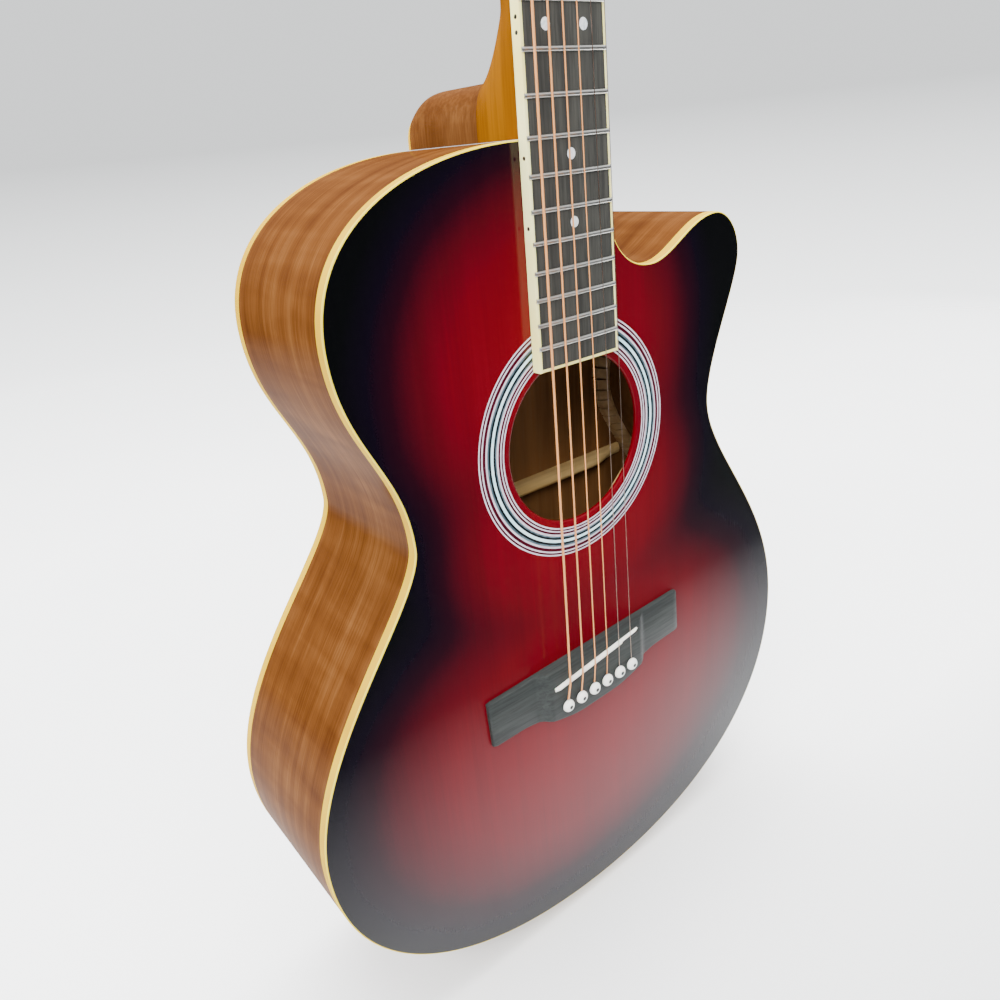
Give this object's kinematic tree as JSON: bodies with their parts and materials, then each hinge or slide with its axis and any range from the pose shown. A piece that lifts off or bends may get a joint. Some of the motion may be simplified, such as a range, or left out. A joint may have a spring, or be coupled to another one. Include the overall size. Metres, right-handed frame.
{
  "type": "acoustic guitar",
  "caption": "Steel-string acoustic guitar with a round cutaway, burst top, bound body, slanted saddle, pinned bridge and open-geared tuners.",
  "frame": {"origin": "middle of the bounding box in X and Y, at the flat end of the end pin (lowest point)", "axes": "+Z from the tail up the neck, -Y out of the soundboard towards the listener, +X towards the treble side with the cutaway"},
  "size_m": [0.38, 0.1206, 1.0307],
  "materials": {
    "burst_top": "gloss",
    "side_wood": "gloss",
    "neck_wood": "gloss",
    "inner_wood": "raw",
    "dark_wood": "satin",
    "cream_plastic": "gloss",
    "rosette_inlay": "gloss",
    "bone": "satin",
    "nickel": "polished",
    "bronze_wound": "polished",
    "plain_steel": "polished",
    "black_plastic": "gloss"
  },
  "bodies": {
    "root": {"soundboard": "burst_top", "rosette": "rosette_inlay", "back_plate": "side_wood", "rib_bass": "side_wood", "rib_treble": "side_wood", "top_binding": "cream_plastic", "back_binding": "cream_plastic", "top_lining": "inner_wood", "back_lining": "inner_wood", "neck_block": "inner_wood", "tail_block": "inner_wood", "x_brace_bass": "inner_wood", "x_brace_treble": "inner_wood", "upper_transverse_brace": "inner_wood", "tone_bar_upper": "inner_wood", "tone_bar_lower": "inner_wood", "bridge_plate": "inner_wood", "back_brace_1": "inner_wood", "back_brace_2": "inner_wood", "back_brace_3": "inner_wood", "back_brace_4": "inner_wood", "bridge": "dark_wood", "saddle": "bone", "end_pin": "cream_plastic", "neck": "neck_wood", "heel_block": "side_wood", "heel_cap": "cream_plastic", "truss_rod": "plain_steel", "fingerboard": "dark_wood", "fingerboard_binding": "cream_plastic", "frets": "nickel", "nut": "bone", "headstock_veneer": "black_plastic", "truss_rod_cover": "cream_plastic", "tuner_plate_bass": "nickel", "tuner_plate_treble": "nickel", "string_6": "bronze_wound", "string_5": "bronze_wound", "string_4": "bronze_wound", "string_3": "bronze_wound", "string_2": "plain_steel", "string_1": "plain_steel"},
    "tuner_button_6": {"tuner_button_6": "cream_plastic"},
    "string_post_6": {"string_post_6": "nickel"},
    "tuner_button_5": {"tuner_button_5": "cream_plastic"},
    "string_post_5": {"string_post_5": "nickel"},
    "tuner_button_4": {"tuner_button_4": "cream_plastic"},
    "string_post_4": {"string_post_4": "nickel"},
    "tuner_button_3": {"tuner_button_3": "cream_plastic"},
    "string_post_3": {"string_post_3": "nickel"},
    "tuner_button_2": {"tuner_button_2": "cream_plastic"},
    "string_post_2": {"string_post_2": "nickel"},
    "tuner_button_1": {"tuner_button_1": "cream_plastic"},
    "string_post_1": {"string_post_1": "nickel"},
    "bridge_pin_6": {"bridge_pin_6": "bone"},
    "bridge_pin_5": {"bridge_pin_5": "bone"},
    "bridge_pin_4": {"bridge_pin_4": "bone"},
    "bridge_pin_3": {"bridge_pin_3": "bone"},
    "bridge_pin_2": {"bridge_pin_2": "bone"},
    "bridge_pin_1": {"bridge_pin_1": "bone"}
  },
  "joints": [
    {"name": "tuner_6_turn", "type": "hinge", "parent": "root", "child": "tuner_button_6", "pos_m": [-0.022, -0.01554, 0.90596], "axis": [-1, 0, 0], "continuous": true},
    {"name": "post_6_turn", "type": "hinge", "parent": "root", "child": "string_post_6", "pos_m": [-0.022, -0.03705, 0.90215], "axis": [0, 0.9703, -0.2419], "continuous": true},
    {"name": "tuner_5_turn", "type": "hinge", "parent": "root", "child": "tuner_button_5", "pos_m": [-0.022, -0.00635, 0.94283], "axis": [-1, 0, 0], "continuous": true},
    {"name": "post_5_turn", "type": "hinge", "parent": "root", "child": "string_post_5", "pos_m": [-0.022, -0.02786, 0.93902], "axis": [0, 0.9703, -0.2419], "continuous": true},
    {"name": "tuner_4_turn", "type": "hinge", "parent": "root", "child": "tuner_button_4", "pos_m": [-0.022, 0.00284, 0.9797], "axis": [-1, 0, 0], "continuous": true},
    {"name": "post_4_turn", "type": "hinge", "parent": "root", "child": "string_post_4", "pos_m": [-0.022, -0.01867, 0.97589], "axis": [0, 0.9703, -0.2419], "continuous": true},
    {"name": "tuner_3_turn", "type": "hinge", "parent": "root", "child": "tuner_button_3", "pos_m": [0.022, 0.00284, 0.9797], "axis": [1, 0, 0], "continuous": true},
    {"name": "post_3_turn", "type": "hinge", "parent": "root", "child": "string_post_3", "pos_m": [0.022, -0.01867, 0.97589], "axis": [0, 0.9703, -0.2419], "continuous": true},
    {"name": "tuner_2_turn", "type": "hinge", "parent": "root", "child": "tuner_button_2", "pos_m": [0.022, -0.00635, 0.94283], "axis": [1, 0, 0], "continuous": true},
    {"name": "post_2_turn", "type": "hinge", "parent": "root", "child": "string_post_2", "pos_m": [0.022, -0.02786, 0.93902], "axis": [0, 0.9703, -0.2419], "continuous": true},
    {"name": "tuner_1_turn", "type": "hinge", "parent": "root", "child": "tuner_button_1", "pos_m": [0.022, -0.01554, 0.90596], "axis": [1, 0, 0], "continuous": true},
    {"name": "post_1_turn", "type": "hinge", "parent": "root", "child": "string_post_1", "pos_m": [0.022, -0.03705, 0.90215], "axis": [0, 0.9703, -0.2419], "continuous": true},
    {"name": "bridge_pin_6_pull", "type": "slide", "parent": "root", "child": "bridge_pin_6", "axis": [0, -1, 0], "range_m": [0, 0.03]},
    {"name": "bridge_pin_5_pull", "type": "slide", "parent": "root", "child": "bridge_pin_5", "axis": [0, -1, 0], "range_m": [0, 0.03]},
    {"name": "bridge_pin_4_pull", "type": "slide", "parent": "root", "child": "bridge_pin_4", "axis": [0, -1, 0], "range_m": [0, 0.03]},
    {"name": "bridge_pin_3_pull", "type": "slide", "parent": "root", "child": "bridge_pin_3", "axis": [0, -1, 0], "range_m": [0, 0.03]},
    {"name": "bridge_pin_2_pull", "type": "slide", "parent": "root", "child": "bridge_pin_2", "axis": [0, -1, 0], "range_m": [0, 0.03]},
    {"name": "bridge_pin_1_pull", "type": "slide", "parent": "root", "child": "bridge_pin_1", "axis": [0, -1, 0], "range_m": [0, 0.03]}
  ],
  "couplings": [
    {"joint": "post_6_turn", "follows": "tuner_6_turn", "ratio": 0.071429},
    {"joint": "post_5_turn", "follows": "tuner_5_turn", "ratio": 0.071429},
    {"joint": "post_4_turn", "follows": "tuner_4_turn", "ratio": 0.071429},
    {"joint": "post_3_turn", "follows": "tuner_3_turn", "ratio": 0.071429},
    {"joint": "post_2_turn", "follows": "tuner_2_turn", "ratio": 0.071429},
    {"joint": "post_1_turn", "follows": "tuner_1_turn", "ratio": 0.071429}
  ]
}
